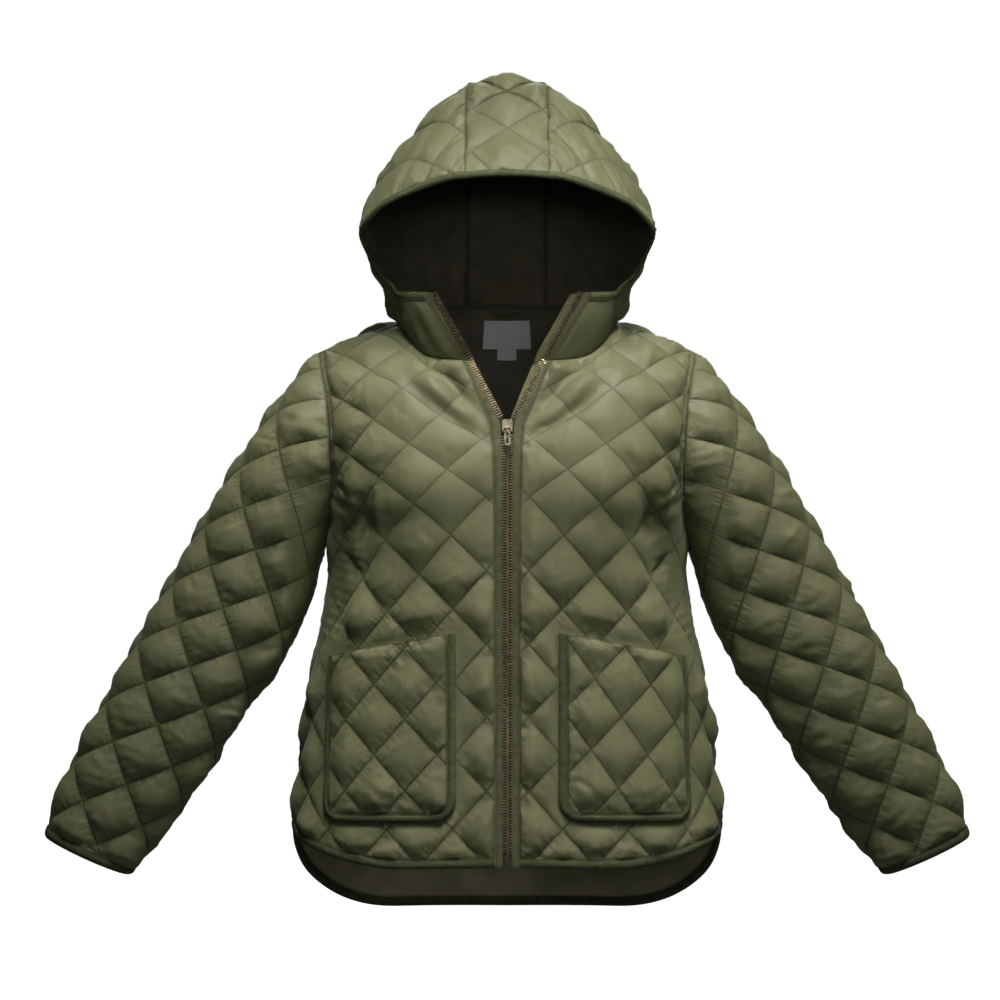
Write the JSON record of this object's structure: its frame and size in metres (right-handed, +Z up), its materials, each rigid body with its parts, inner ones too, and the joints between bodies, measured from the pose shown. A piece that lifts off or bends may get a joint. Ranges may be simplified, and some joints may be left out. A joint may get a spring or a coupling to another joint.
{
  "type": "hooded quilted jacket",
  "caption": "Hooded jacket in diamond-quilted cloth with a long zip, patch pockets, bound edges and a shirt-tail hem that is longer behind, hollow as if worn.",
  "frame": {"origin": "middle of the base of the neck, inside the collar opening", "axes": "+Z up, -Y towards the front with the zip, +X towards the wearer's left arm"},
  "size_m": [1.036, 0.2878, 0.9617],
  "materials": {
    "quilted_shell": "quilted woven polyester, soft satin sheen",
    "lining": "plain dark lining",
    "binding_cloth": "matt woven tape",
    "zip_tape_cloth": "matt woven tape",
    "antique_brass": "antique, darkened",
    "woven_label": "woven, plain white"
  },
  "bodies": {
    "jacket": {"front_left": "quilted_shell", "front_right": "quilted_shell", "back": "quilted_shell", "sleeve_left": "quilted_shell", "sleeve_right": "quilted_shell", "hood_side_left": "quilted_shell", "hood_side_right": "quilted_shell", "hood_centre": "quilted_shell", "collar_left": "quilted_shell", "collar_right": "quilted_shell", "pocket_left": "quilted_shell", "pocket_right": "quilted_shell", "zip_facing_left": "quilted_shell", "hem_binding_front_left": "binding_cloth", "hem_binding_front_right": "binding_cloth", "hem_binding_back": "binding_cloth", "cuff_binding_left": "binding_cloth", "cuff_binding_right": "binding_cloth", "hood_binding": "binding_cloth", "pocket_binding_left": "binding_cloth", "pocket_binding_right": "binding_cloth", "zip_tape_left": "zip_tape_cloth", "zip_tape_right": "zip_tape_cloth", "zip_teeth_closed": "antique_brass", "zip_teeth_open_left": "antique_brass", "zip_teeth_open_right": "antique_brass", "zip_stop": "antique_brass", "zip_slider": "antique_brass", "neck_label": "woven_label", "size_tab": "woven_label", "hanger_loop": "lining"},
    "pull": {"zip_pull": "antique_brass"}
  },
  "joints": [
    {"name": "pull_swing", "type": "hinge", "parent": "jacket", "child": "pull", "pos_m": [0, -0.1147, -0.11346], "axis": [-1, 0, 0], "range_deg": [0, 150]}
  ]
}
